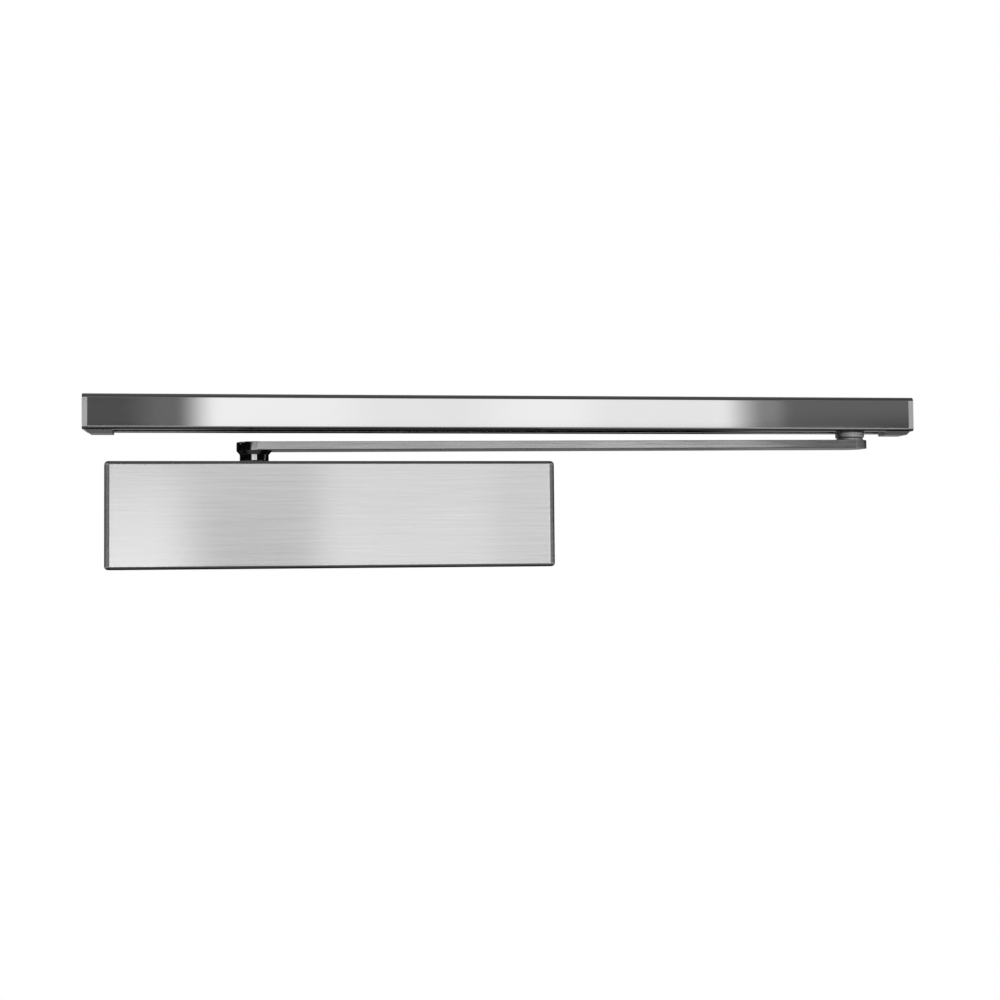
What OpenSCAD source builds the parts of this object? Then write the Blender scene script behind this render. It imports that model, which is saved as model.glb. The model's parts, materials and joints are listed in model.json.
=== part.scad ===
// Surface-mounted door closer with a slide arm and a guide rail.
// Origin: on the wall plane, at the centre of the closer body's four mounting holes.
// +X runs along the rail, away from the door's hinges. +Y goes into the wall. +Z is up.
// The door is closed. All sizes are in millimetres.

/* [Cover] */
// Length of the cover
cover_l = 284; // [282:1:300]
// Height of the cover
cover_h = 68; // [67:0.5:72]
// Depth of the cover from the wall plane to its front face
cover_d = 58; // [57:0.5:64]
// Thickness of the cover's sheet steel
cover_t = 1.5; // [1:0.1:1.8]
// Radius of the cover's upright front corners
cover_end_r = 4; // [2.5:0.5:6]
// Radius of the cover's long front edges
cover_edge_r = 2; // [2:0.2:3]
// Diameter of the hole in the cover's top for the arm's drive
cover_hole_d = 22; // [20:1:26]

/* [Mounting plate] */
// Length of the mounting plate
plate_l = 274; // [270:1:276]
// Height of the mounting plate
plate_h = 62; // [56:1:64]
// Thickness of the mounting plate
plate_t = 4; // [3:0.5:4]
// Distance between the mounting holes along the plate
fix_dx = 214; // [180:1:220]
// Distance between the mounting holes across the plate
fix_dz = 40; // [34:1:44]
// Diameter of the mounting holes
fix_d = 5.5; // [4.5:0.5:6.5]

/* [Closer body] */
// Length of the casting without its ears
cast_l = 236; // [232:1:240]
// Height of the casting
cast_h = 60; // [58:0.5:61]
// Depth of the casting
cast_d = 48; // [46:0.5:49]
// Diameter of the piston bore
bore_d = 36; // [34:0.5:36]
// Position of the pinion's axis along the body
pinion_x = -50; // [-56:1:-44]
// Height of the casting's pinion bosses above the casting
boss_h = 1.6; // [1:0.1:1.8]
// Diameter of the pinion's journals
journal_d = 15; // [14:0.5:15]

/* [Pinion and piston] */
// Gear module of the pinion and rack
gear_module = 1.5; // [1.4:0.05:1.5]
// Number of teeth on the pinion
gear_teeth = 12; // [12:1:12]
// Pressure angle of the teeth
pressure_angle = 25; // [24:0.5:26]
// Width of the pinion's teeth
gear_w = 26; // [22:1:28]
// Greatest turn of the pinion, in degrees
pinion_turn = 175; // [150:5:175]
// Width across the flats of the pinion's square end
square_af = 11; // [10:0.5:11]
// Radial clearance of the running fits
run_gap = 0.05; // [0.02:0.01:0.08]
// Clearance between other pieces that move past each other
move_gap = 0.3; // [0.25:0.05:0.4]

/* [Spring] */
// Wire diameter of the closing spring
wire_d = 5; // [4:0.5:5]
// Mean diameter of the closing spring's coils
coil_d = 27; // [26:0.5:28]
// Number of coils
coils = 11; // [8:1:12]
// Thread diameter of the power adjusting screw
power_d = 8; // [7:0.5:8]

/* [Valves] */
// Diameter of the valve screws
valve_d = 7; // [6:0.5:7]
// Length of the valve screws without their tips
valve_l = 16; // [14:1:18]

/* [Arm] */
// Distance between the pinion and the slider's stud, along the wall
arm_dx = 405.5; // [380:0.5:420]
// Distance of the pinion's axis from the wall plane
pinion_off = 28; // [28:0.5:29]
// Height of the arm's top face at the pinion
arm_top_z = 47.7; // [46:0.1:48]
// Rise of the arm from the pinion to the slider
arm_rise = 2.8; // [0:0.1:3]
// Thickness of the arm
arm_t = 5.5; // [4:0.5:6]
// Width of the arm
arm_w = 22.5; // [20:0.5:22.5]
// Diameter of the hub's head, at the height of the bar
head_d = 23; // [23:0.5:26]
// Diameter of the hub below the arm
hub_d = 18.5; // [18:0.5:20]
// Height of the gap between the cover and the hub
hub_gap = 1.4; // [1:0.1:2]

/* [Rail] */
// Length of the rail with its end caps
rail_l = 554; // [520:1:600]
// Position of the rail's middle along the wall
rail_x = 118.5; // [110:0.5:125]
// Height of the rail's profile
rail_h = 23; // [22:0.5:25]
// Depth of the rail's profile
rail_d = 31; // [30:0.5:34]
// Wall thickness of the rail
rail_t = 2; // [1.8:0.1:2.2]
// Height of the rail's underside above the origin
rail_z = 56.2; // [56:0.1:60]
// Width of the slot in the rail's underside
slot_w = 13.6; // [13.6:0.1:15]
// Radius of the rail's upper front edge
rail_top_r = 2.9; // [2:0.1:3]
// Radius of the rail's lower front edge
rail_low_r = 2; // [1.5:0.1:3]
// Thickness of the end caps' outer walls
cap_t = 3.4; // [3:0.1:4]
// Length of the tabs under the rail's ends
tab_l = 18.5; // [14:0.5:19]
// Thickness of the tabs under the rail's ends
tab_t = 2.5; // [1:0.1:2.8]
// Diameter of the rail's mounting holes
rail_fix_d = 5.5; // [4.5:0.5:6]

/* [Slider] */
// Diameter of the stud that the slider turns on
stud_d = 10; // [8:0.5:10]
// Diameter of the stud's and bush's flanges
flange_d = 19.5; // [17:0.5:20]
// Diameter of the bush in the slot
bush_d = 13; // [12:0.5:13]
// Length of the shoe in the rail
shoe_l = 36; // [30:1:36]

/* [Hidden] */
$fn = 64;

cut = 1;                                   // how far a cutting tool runs past a face
plate_r = 4;                               // corner radius of the mounting plate
plate_sink = 2.5;                          // depth and widening of its countersinks
cast_r = 5;                                // corner radius of the casting
bore_r = bore_d / 2;
pinion_y = -pinion_off;
cast_y = -plate_t - cast_d / 2;            // middle of the casting's depth
cast_x = cast_l / 2;
journal_r = journal_d / 2;
bearing_r = 12;                            // outer radius of the pinion's bearings
bearing_z0 = bore_r + 0.2;
bearing_z1 = bearing_z0 + 7;
needle_r = 1;
needles = 20;
thread_r = 15;                             // radius of the bearing caps' threads
boss_z = cast_h / 2 + boss_h;
seal_r = 11;
seal_h = 3;
plug_r = bore_r + 1.5;
plug_t = 10;
plug_key = 14;                             // hexagon socket of the left plug
o_ring_r = 0.9;
stem_ring_r = 0.75;                        // seal ring of the power screw
ear_x = cast_x + 8;                        // middle of the casting's ears
ear_z = 21;
ear_r = 8;
ear_t = 10;
screw_r = 3;                               // radius of an M6 screw
screw_free_r = 3.2;                        // radius of a clearance hole for it
screw_head_r = 5;
screw_head_h = 6;
screw_key = 5;
clip_t = 1;
clip_w = 21;                               // width of a clip across the ears
clip_leg = 12;                             // width of each of its legs
clip_reach = 24;                           // length of a leg
dimple_r = 3;
clip_y = -plate_t - ear_t;                 // front face of the casting's ears
leg_x = cover_t + 0.6 - cover_l / 2;       // outer face of the left clip's legs

pitch_r = gear_module * gear_teeth / 2;
base_r = pitch_r * cos(pressure_angle);
tip_r = pitch_r + gear_module;
root_r = pitch_r - 1.25 * gear_module;
flank_gap = 0.06;                          // play left at each tooth flank
flank_steps = 6;
rack_pitch = PI * gear_module;
rack_y = pinion_y - pitch_r;               // pitch line of the rack
rack_tip = gear_module - 0.1;
rack_root = 1.25 * gear_module + 0.05;
travel = pitch_r * pinion_turn * PI / 180; // stroke of the piston
piston_r = bore_r - run_gap;
window_x0 = pinion_x - tip_r - travel - 1.5;
window_x1 = pinion_x + tip_r + 1.5;
piston_x0 = window_x0 - 12;
piston_x1 = window_x1 + 16;
window_y1 = pinion_y + tip_r + 0.6;
ring_x0 = piston_x1 - 5;                   // groove of the piston's seal
ring_w = 3;
ring_r = piston_r - 2;
ball_r = 2;
ball_x = piston_x1 - 7.7;
ball_room_r = 2.6;
ball_play = 0.8;
oil_r = 1.5;                               // oil passage behind the ball
retainer_r = 1.2;                          // oil passage through the ball's retainer

collar_x0 = cast_x - plug_t - 3;           // collar of the power screw
collar_x1 = cast_x - plug_t - move_gap;
collar_r = 7;
power_r = power_d / 2;
power_key = 4;
power_out = 2;                             // how far the power screw stands out of its plug
seat_x0 = collar_x0 - 13;                  // face of the spring seat
seat_t = 5;
seat_hub_l = 8;
seat_hub_r = 9;
wire_r = wire_d / 2;
wire_steps = 18;                           // rings of points in each turn of the wire
wire_sides = 8;
wire_rings = coils * wire_steps;
flat_pitch = wire_d * 0.98;                // pitch of the closed turn at each end
spring_x0 = piston_x1 + 0.05;
spring_x1 = seat_x0 - 0.05;

valve_r = valve_d / 2;
valve_y = cast_y - 16.5;
valve_z = 22.5;
valve_tip = 4;
valve_tip_r = 1;
valve_in = 1;                              // from the casting's end to the valve screw
valve_key = 2.5;
valve_port_r = 1.2;
neck_x0 = 8;                               // seal groove, from the casting's end
neck_x1 = 10;
neck_r = 2.25;
valve_ring_r = 0.61;

arm_dy = pinion_off - rail_d / 2;
arm_yaw = atan2(arm_dy, arm_dx);
arm_l = sqrt(arm_dx * arm_dx + arm_dy * arm_dy);
arm_tilt = atan2(arm_rise, arm_l);
slider_x = pinion_x + arm_dx;
slider_y = -rail_d / 2;
square_z1 = arm_top_z - 4.3;               // top of the pinion's square
square_gap = 0.05;                         // clearance at each flat of the square
head_z = arm_top_z + 0.12;                 // top of the hub, just proud of the rising bar
hub_z0 = cover_h / 2 + hub_gap;
flare_z0 = arm_top_z - 7.9;
flare_z1 = arm_top_z - 5.2;
sink_r = 6.3;                              // countersink in the hub
sink_h = 3.3;
arm_screw_z = 26;                          // lower end of the arm screw
arm_key = 4;

stud_r = stud_d / 2;
rivet_r = 4;
stud_z0 = arm_top_z + arm_rise - 0.15;     // spot face of the stud on the arm
stud_flange_z1 = rail_z - 3.9;
bush_z0 = stud_flange_z1 + move_gap;
bush_z1 = rail_z - move_gap;
bush_top = rail_z + 11.8;
stud_top = bush_top + 2.2;
clip_groove_z = bush_top + 0.4;
clip_groove_h = 1;
clip_groove_r = stud_r - 0.8;
circlip_r = stud_r + 2.4;
shoe_z0 = rail_z + rail_t + move_gap;
shoe_z1 = bush_top + 4;
shoe_w = rail_d - 2 * rail_t - 2 * move_gap;
shoe_r = 4;
shoe_hole_r = stud_r + 4;                  // room above the bush for the circlip

rail_x0 = rail_x - rail_l / 2;
rail_x1 = rail_x + rail_l / 2;
block_l = 17;
block_x = cap_t + 0.1;                     // from a rail end to its block
block_mid = block_x + block_l / 2;
lock_y = -rail_d + rail_t + 3.4;
lock_r = 2;
lock_l = 4;
lock_key = 2;
sink_head_r = 6;                           // room for the head of a block's mounting screw
sink_head_t = 5;                           // block left under that head
tab_y0 = -rail_d + 2.5;
tab_y1 = -13;
tab_in = 2.2;                              // from a cap's end face to its tab
tab_key = 1;                               // how much shorter the key in the slot is than the tab

// ---- Helpers -------------------------------------------------------------

// Extrudes a shape drawn in (Y, Z) from x0 to x1
module along_x(x0, x1) translate([x0, 0, 0]) rotate([90, 0, 90]) linear_extrude(x1 - x0) children();

// Extrudes a shape drawn in (X, Z) from y0 to y1
module along_y(y0, y1) translate([0, y1, 0]) rotate([90, 0, 0]) linear_extrude(y1 - y0) children();

// Extrudes a shape drawn in (X, Y) from z0 to z1
module along_z(z0, z1) translate([0, 0, z0]) linear_extrude(z1 - z0) children();

module rod_x(x0, x1, r) along_x(x0, x1) circle(r);
module rod_y(y0, y1, r) along_y(y0, y1) circle(r);
module rod_z(z0, z1, r) along_z(z0, z1) circle(r);

// Six-sided hole or head of a given width across its flats
module hexagon(across) circle(across / sqrt(3), $fn = 6);

module rounded_rect(w, h, r) {
    square([w - 2 * r, h], center = true);
    square([w, h - 2 * r], center = true);
    for (x = [-1, 1], y = [-1, 1]) translate([x * (w / 2 - r), y * (h / 2 - r)]) circle(r);
}

// Shape from a front edge to a back edge, with both front corners rounded
module front_rounded(front, back, half, r) {
    translate([front + r, -half]) square([back - front - r, 2 * half]);
    translate([front, r - half]) square([back - front, 2 * (half - r)]);
    for (s = [-1, 1]) translate([front + r, s * (half - r)]) circle(r);
}

// Solid that fills the cover, shrunk by inset on all sides but the back
module cover_block(inset, back) intersection() {
    along_x(inset - cover_l / 2, cover_l / 2 - inset)
        front_rounded(inset - cover_d, back, cover_h / 2 - inset, cover_edge_r - inset);
    along_z(inset - cover_h / 2, cover_h / 2 - inset)
        rotate(90) front_rounded(inset - cover_d, back, cover_l / 2 - inset, cover_end_r - inset);
}

module at_pinion() translate([pinion_x, pinion_y, 0]) children();
module at_bore() translate([0, cast_y, 0]) children();
module at_slider() translate([slider_x, slider_y, 0]) children();
module at_body_screws() for (x = [-1, 1], z = [-1, 1]) translate([x * ear_x, 0, z * ear_z]) children();

// Places a shape at the left end, and its mirror image when side is 1
module at_end(side) mirror([side > 0 ? 1 : 0, 0, 0]) children();

// Places a shape drawn for the rail's left end, or its mirror image at the right end
module at_rail_end(side) translate([rail_x, 0, 0]) at_end(side) translate([-rail_l / 2, 0, 0]) children();

// Ring of round section around the X axis
module ring_x(x, mid_r, r) translate([x, 0, 0]) rotate([0, 90, 0])
    rotate_extrude() translate([mid_r, 0]) circle(r);

// ---- Gear teeth ----------------------------------------------------------

// Angle between a tooth's middle and its flank at radius r, in degrees
function involute_deg(r) = sqrt(pow(r / base_r, 2) - 1) * 180 / PI - acos(base_r / r);
function flank_deg(r) = 90 / gear_teeth - flank_gap / pitch_r * 180 / PI
    + involute_deg(pitch_r) - involute_deg(max(r, base_r));
function tooth_radii() = concat([root_r],
    [for (i = [0:flank_steps]) base_r + (tip_r - base_r) * i / flank_steps]);
function polar(r, a) = [r * cos(a), r * sin(a)];
function tooth(mid) = let (radii = tooth_radii(), last = len(radii) - 1) concat(
    [for (i = [0:last]) polar(radii[i], mid - flank_deg(radii[i]))],
    [for (i = [last:-1:0]) polar(radii[i], mid + flank_deg(radii[i]))]);

module gear_outline() polygon([for (k = [0:gear_teeth - 1], p = tooth(k * 360 / gear_teeth)) p]);

module rack_tooth() {
    half = rack_pitch / 4 - flank_gap;
    slope = tan(pressure_angle);
    polygon([[-half - rack_root * slope, -rack_root - 0.01], [-half + rack_tip * slope, rack_tip],
        [half - rack_tip * slope, rack_tip], [half + rack_root * slope, -rack_root - 0.01]]);
}

module rack_teeth() for (k = [-7:1])
    translate([pinion_x + (k + 0.5) * rack_pitch, rack_y]) rack_tooth();

// ---- Closer body ---------------------------------------------------------

module mounting_plate() color("dimgray") difference() {
    along_y(-plate_t, 0) rounded_rect(plate_l, plate_h, plate_r);
    for (x = [-1, 1], z = [-1, 1]) translate([x * fix_dx / 2, 0, z * fix_dz / 2]) {
        rod_y(-plate_t - cut, cut, fix_d / 2);
        translate([0, -plate_t, 0]) rotate([-90, 0, 0])
            cylinder(h = plate_sink, r1 = fix_d / 2 + plate_sink, r2 = fix_d / 2);
    }
    at_body_screws() rod_y(-plate_t - cut, cut, screw_r);
}

module valve_bore() {
    rod_x(-cast_x - cut, valve_l + valve_tip + 1.5 - cast_x, valve_r + run_gap);
    translate([valve_l + 3 - cast_x, 1.5, -valve_z]) rod_z(0, valve_z, valve_port_r);
}

module body_casting() color("slategray") difference() {
    union() {
        at_bore() along_x(-cast_x, cast_x) rounded_rect(cast_d, cast_h, cast_r);
        at_pinion() rod_z(-boss_z, boss_z, thread_r + 4);
        at_body_screws() rod_y(clip_y, -plate_t, ear_r);
        for (x = [-1, 1], z = [-1, 1]) translate([x * (ear_x - ear_r + 2), 0, z * ear_z])
            along_y(clip_y, -plate_t) square([2 * (ear_r - 2), 2 * ear_r], center = true);
    }
    at_bore() {
        rod_x(-cast_x - cut, cast_x + cut, bore_r);
        for (side = [-1, 1]) at_end(side) rod_x(-cast_x - cut, plug_t + 2 - cast_x, plug_r);
    }
    at_pinion() {
        rod_z(-bearing_z1, bearing_z1, bearing_r);
        for (side = [0, 1]) mirror([0, 0, side]) rod_z(bearing_z1, boss_z + cut, thread_r);
    }
    at_body_screws() rod_y(clip_y - cut, cut, screw_free_r);
    translate([0, valve_y, valve_z]) valve_bore();
    translate([0, valve_y, -valve_z]) mirror([0, 0, 1]) valve_bore();
    at_end(1) translate([0, valve_y, valve_z]) valve_bore();
}

module end_plug_left() color("silver") at_bore() difference() {
    rod_x(-cast_x, plug_t - cast_x, plug_r);
    along_x(-cast_x - cut, 6 - cast_x) hexagon(plug_key);
}

module end_plug_right() color("silver") at_bore() difference() {
    rod_x(cast_x - plug_t, cast_x, plug_r);
    rod_x(cast_x - plug_t - cut, cast_x + cut, power_r + run_gap);
    ring_x(cast_x - plug_t / 2, power_r + 0.9, stem_ring_r + 0.05);
    for (z = [-1, 1]) translate([0, 0, z * 12]) rod_x(cast_x - 5, cast_x + cut, 2);
}

module plug_seal(x) at_bore() ring_x(x, plug_r - o_ring_r - 0.05, o_ring_r);

module end_seal_left() color("black") plug_seal(plug_t + 1 - cast_x);
module end_seal_right() color("black") plug_seal(cast_x - plug_t - 1);

module power_screw_seal() color("black") at_bore()
    ring_x(cast_x - plug_t / 2, power_r + 0.87, stem_ring_r);

module needle_bearing() {
    difference() {
        rod_z(bearing_z0, bearing_z1, bearing_r);
        rod_z(bearing_z0 - cut, bearing_z1 + cut, journal_r + 0.1 + 2 * needle_r);
    }
    for (k = [0:needles - 1]) rotate(k * 360 / needles)
        translate([journal_r + 0.07 + needle_r, 0, 0]) rod_z(bearing_z0 + 0.5, bearing_z1 - 0.5, needle_r);
}

module upper_bearing() color("lightsteelblue") at_pinion() needle_bearing();
module lower_bearing() color("lightsteelblue") at_pinion() mirror([0, 0, 1]) needle_bearing();

module upper_shaft_seal() color("black") at_pinion() difference() {
    rod_z(bearing_z1, bearing_z1 + seal_h, seal_r);
    rod_z(bearing_z1 - cut, bearing_z1 + seal_h + cut, journal_r + 0.03);
}

module spanner_holes() for (x = [-12, 12]) translate([x, 0, 0]) rod_z(boss_z - 2, boss_z + cut, 1.5);

module upper_bearing_cap() color("gray") at_pinion() difference() {
    rod_z(bearing_z1, boss_z, thread_r);
    rod_z(bearing_z1 - cut, bearing_z1 + seal_h, seal_r);
    rod_z(bearing_z1, boss_z + cut, journal_r + move_gap);
    spanner_holes();
}

module lower_bearing_cap() color("gray") at_pinion() mirror([0, 0, 1]) difference() {
    rod_z(bearing_z1, boss_z, thread_r);
    rod_z(bearing_z1 - cut, bearing_z1 + seal_h, journal_r + 1);
    spanner_holes();
}

module cover() color("gainsboro") difference() {
    cover_block(0, 0);
    cover_block(cover_t, cut);
    at_pinion() rod_z(cover_h / 2 - cover_t - cut, cover_h / 2 + cut, cover_hole_d / 2);
}

// Spring clip on the casting's ears, with two legs that grip the cover's end wall
module cover_clip() {
    difference() {
        along_y(clip_y - clip_t, clip_y) translate([leg_x, -ear_z - clip_leg / 2])
            square([clip_w, 2 * ear_z + clip_leg]);
        at_body_screws() rod_y(clip_y - clip_t - cut, clip_y + cut, screw_free_r);
        along_y(clip_y - clip_t - cut, clip_y + cut)
            translate([leg_x - cut, clip_leg / 2 - ear_z])
                square([clip_w / 3, 2 * ear_z - clip_leg]);
    }
    for (z = [-1, 1]) translate([0, 0, z * ear_z]) {
        along_x(leg_x, leg_x + clip_t) translate([clip_y - clip_reach, -clip_leg / 2])
            square([clip_reach, clip_leg]);
        translate([0, clip_y - clip_reach * 2 / 3, 0]) rod_x(leg_x - 0.5, leg_x, dimple_r);
    }
}

module cover_clip_left() color("darkgray") cover_clip();
module cover_clip_right() color("darkgray") at_end(1) cover_clip();

module body_screws() color("black") at_body_screws() difference() {
    union() {
        rod_y(clip_y - clip_t - screw_head_h, clip_y - clip_t, screw_head_r);
        rod_y(clip_y - clip_t, -1, screw_r);
    }
    along_y(clip_y - clip_t - screw_head_h - cut, clip_y - clip_t - screw_head_h / 2)
        hexagon(screw_key);
}

// ---- Spring and power adjustment -----------------------------------------

// Middle of the wire along the spring's axis, where the first and last turns lie closed
function coil_x(turn) = let (last = coils - 1, s = max(0, min(1, (turn - 1) / (last - 1))))
    spring_x0 + wire_r + min(turn, 1) * flat_pitch + max(turn - last, 0) * flat_pitch
    + s * (spring_x1 - spring_x0 - wire_d - 2 * flat_pitch);

// Point on the wire's surface: step i along the coil, step j around the wire
function wire_point(i, j) = let (turn = i / wire_steps, a = j * 360 / wire_sides,
    r = coil_d / 2 + wire_r * cos(a))
    [coil_x(turn) + wire_r * sin(a), r * cos(turn * 360), r * sin(turn * 360)];

// Four-sided face of the wire from ring i to the next ring, on side j
function wire_face(i, j) = let (a = i * wire_sides, next = (j + 1) % wire_sides)
    [a + j, a + wire_sides + j, a + wire_sides + next, a + next];

module main_spring() color("goldenrod") at_bore() polyhedron(
    points = [for (i = [0:wire_rings], j = [0:wire_sides - 1]) wire_point(i, j)],
    faces = concat(
        [[for (j = [0:wire_sides - 1]) j]],
        [for (i = [0:wire_rings - 1], j = [0:wire_sides - 1]) wire_face(i, j)],
        [[for (j = [wire_sides - 1:-1:0]) wire_rings * wire_sides + j]]));

module spring_seat() color("gray") at_bore() difference() {
    union() {
        rod_x(seat_x0, seat_x0 + seat_t, piston_r - 1);
        rod_x(seat_x0 - seat_hub_l, seat_x0, seat_hub_r);
    }
    rod_x(seat_x0 - seat_hub_l - cut, seat_x0 + seat_t + cut, power_r + run_gap);
}

module power_screw() color("black") at_bore() difference() {
    union() {
        rod_x(seat_x0 - seat_hub_l - power_r, cast_x + power_out, power_r);
        rod_x(collar_x0, collar_x1, collar_r);
    }
    along_x(cast_x - power_out, cast_x + power_out + cut) hexagon(power_key);
}

// ---- Valves --------------------------------------------------------------

// Throttle screw with a seal groove, a tapered tip and a hexagon socket
module valve_screw() difference() {
    union() {
        rod_x(valve_in - cast_x, neck_x0 - cast_x, valve_r);
        rod_x(neck_x0 - cast_x, neck_x1 - cast_x, neck_r);
        rod_x(neck_x1 - cast_x, valve_l - cast_x, valve_r);
        translate([valve_l - cast_x, 0, 0]) rotate([0, 90, 0])
            cylinder(h = valve_tip, r1 = valve_r, r2 = valve_tip_r);
    }
    along_x(-cast_x, neck_x0 / 2 - cast_x) hexagon(valve_key);
}

module valve_seal() ring_x((neck_x0 + neck_x1) / 2 - cast_x, neck_r + valve_ring_r + 0.01, valve_ring_r);

module at_closing_valve() translate([0, valve_y, valve_z]) children();
module at_latching_valve() translate([0, valve_y, -valve_z]) children();
module at_backcheck_valve() at_end(1) translate([0, valve_y, valve_z]) children();

module closing_speed_valve() color("khaki") at_closing_valve() valve_screw();
module closing_speed_seal() color("black") at_closing_valve() valve_seal();
module latching_speed_valve() color("khaki") at_latching_valve() valve_screw();
module latching_speed_seal() color("black") at_latching_valve() valve_seal();
module backcheck_valve() color("khaki") at_backcheck_valve() valve_screw();
module backcheck_seal() color("black") at_backcheck_valve() valve_seal();

// ---- Piston --------------------------------------------------------------

module rack_piston() color("steelblue") difference() {
    at_bore() rod_x(piston_x0, piston_x1, piston_r);
    difference() {
        along_z(-bore_r - cut, bore_r + cut)
            translate([window_x0, rack_y - rack_root])
                square([window_x1 - window_x0, window_y1 - rack_y + rack_root]);
        along_z(-gear_w / 2, gear_w / 2) rack_teeth();
    }
    at_bore() {
        difference() {
            rod_x(ring_x0, ring_x0 + ring_w, piston_r + cut);
            rod_x(ring_x0 - cut, ring_x0 + ring_w + cut, ring_r);
        }
        rod_x(window_x1 - cut, piston_x1 + cut, oil_r);
        rod_x(ball_x - ball_r - move_gap, piston_x1 + cut, ball_room_r);
    }
}

module piston_seal() color("white") at_bore() difference() {
    rod_x(ring_x0, ring_x0 + ring_w, piston_r + 0.02);
    rod_x(ring_x0 - cut, ring_x0 + ring_w + cut, ring_r);
}

module check_valve_retainer() color("khaki") at_bore() difference() {
    rod_x(ball_x + ball_r + ball_play + move_gap, piston_x1, ball_room_r);
    rod_x(ball_x, piston_x1 + cut, retainer_r);
}

module check_valve_ball() color("silver") at_bore() translate([ball_x, 0, 0]) sphere(ball_r);

// ---- Pinion and arm ------------------------------------------------------

module pinion_shaft() color("silver") at_pinion() difference() {
    union() {
        rod_z(-bearing_z1 + 0.2, cover_h / 2 - cover_t, journal_r);
        along_z(-gear_w / 2, gear_w / 2) union() {
            gear_outline();
            circle(root_r);
        }
        intersection() {
            along_z(0, square_z1) square(square_af, center = true);
            rod_z(0, square_z1, journal_r);
        }
    }
    rod_z(24, square_z1 + cut, screw_r);
}

// Outline of the bar, drawn from the pinion at the origin to the stud
module arm_plan() {
    translate([0, -arm_w / 2]) square([arm_l, arm_w]);
    translate([arm_l, 0]) circle(arm_w / 2);
}

module arm() color("silver") at_pinion() rotate(arm_yaw) difference() {
    union() {
        translate([0, 0, arm_top_z - arm_t]) rotate([0, -arm_tilt, 0]) linear_extrude(arm_t) arm_plan();
        rod_z(hub_z0, flare_z0, hub_d / 2);
        translate([0, 0, flare_z0]) cylinder(h = flare_z1 - flare_z0, r1 = hub_d / 2, r2 = head_d / 2);
        rod_z(flare_z1, head_z, head_d / 2);
    }
    rotate(-arm_yaw) along_z(hub_z0 - cut, square_z1 + 0.3) square(square_af + 2 * square_gap, center = true);
    rod_z(0, head_z + cut, screw_free_r);
    translate([0, 0, head_z - sink_h]) cylinder(h = sink_h, r1 = screw_free_r, r2 = sink_r);
    translate([arm_l, 0, 0]) {
        rod_z(0, stud_z0 + cut, rivet_r);
        rod_z(stud_z0, stud_z0 + cut, flange_d / 2 + 0.2);
    }
}

module arm_screw() color("black") at_pinion() difference() {
    union() {
        rod_z(arm_screw_z, arm_top_z - sink_h + 0.3, screw_r);
        translate([0, 0, arm_top_z - sink_h + 0.3])
            cylinder(h = sink_h - 0.5, r1 = screw_r, r2 = screw_r + 2.8);
    }
    along_z(arm_top_z - 2.6, arm_top_z + cut) hexagon(arm_key);
}

module slider_stud() color("silver") at_slider() difference() {
    union() {
        rod_z(stud_z0 - arm_t + 0.2, stud_z0, rivet_r);
        rod_z(stud_z0, stud_flange_z1, flange_d / 2);
        rod_z(stud_flange_z1, stud_top, stud_r);
    }
    difference() {
        rod_z(clip_groove_z, clip_groove_z + clip_groove_h, stud_r + cut);
        rod_z(clip_groove_z - cut, clip_groove_z + clip_groove_h + cut, clip_groove_r);
    }
}

module stud_circlip() color("dimgray") at_slider() difference() {
    rod_z(clip_groove_z + 0.1, clip_groove_z + clip_groove_h - 0.1, circlip_r);
    rod_z(clip_groove_z - cut, clip_groove_z + clip_groove_h + cut, clip_groove_r + 0.05);
    along_z(clip_groove_z - cut, clip_groove_z + clip_groove_h + cut)
        translate([0, -stud_r / 2]) square([stud_d, stud_r]);
}

// ---- Slider --------------------------------------------------------------

module slider_bush() color("gray") at_slider() difference() {
    union() {
        rod_z(bush_z0, bush_z1, flange_d / 2);
        rod_z(bush_z1, bush_top, bush_d / 2);
    }
    rod_z(bush_z0 - cut, bush_top + cut, stud_r + run_gap);
}

module slider_shoe() color("black") at_slider() difference() {
    along_z(shoe_z0, shoe_z1) rounded_rect(shoe_l, shoe_w, shoe_r);
    rod_z(shoe_z0 - cut, bush_top, bush_d / 2);
    rod_z(bush_top, shoe_z1 + cut, shoe_hole_r);
}

// ---- Rail ----------------------------------------------------------------

// Outer outline of the rail, in (Y, Z)
module rail_outline() difference() {
    translate([-rail_d, rail_z]) square([rail_d, rail_h]);
    translate([-rail_d, rail_z]) corner_waste(rail_low_r);
    translate([-rail_d, rail_z + rail_h]) mirror([0, 1]) corner_waste(rail_top_r);
}

// What rounding takes off a square corner
module corner_waste(r) difference() {
    translate([-cut, -cut]) square(r + cut);
    translate([r, r]) circle(r);
}

module rail() color("whitesmoke") difference() {
    along_x(rail_x0 + cap_t, rail_x1 - cap_t) rail_outline();
    along_x(rail_x0, rail_x1) {
        translate([rail_t - rail_d, rail_z + rail_t]) square([rail_d - 2 * rail_t, rail_h - 2 * rail_t]);
        translate([slider_y - slot_w / 2, rail_z - cut]) square([slot_w, rail_t + 2 * cut]);
    }
    for (side = [-1, 1]) at_rail_end(side) {
        translate([0, -rail_t - cut, rail_z + rail_t])
            cube([block_x + block_l + 0.5, rail_t + 2 * cut, rail_h - 2 * rail_t]);
        translate([block_mid, lock_y, 0]) rod_z(rail_z - cut, rail_z + rail_t + cut, lock_r);
    }
}

// Block screwed to the frame inside each rail end
module rail_block() difference() {
    translate([block_x, move_gap + rail_t - rail_d, rail_z + rail_t + move_gap])
        cube([block_l, rail_d - rail_t - move_gap, rail_h - 2 * rail_t - 2 * move_gap]);
    translate([block_mid, 0, rail_z + rail_h / 2]) {
        rod_y(-rail_d, cut, rail_fix_d / 2);
        rod_y(-rail_d, -sink_head_t, sink_head_r);
    }
    translate([block_mid, lock_y, 0]) rod_z(rail_z, rail_z + lock_l + 0.2, lock_r);
}

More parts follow.
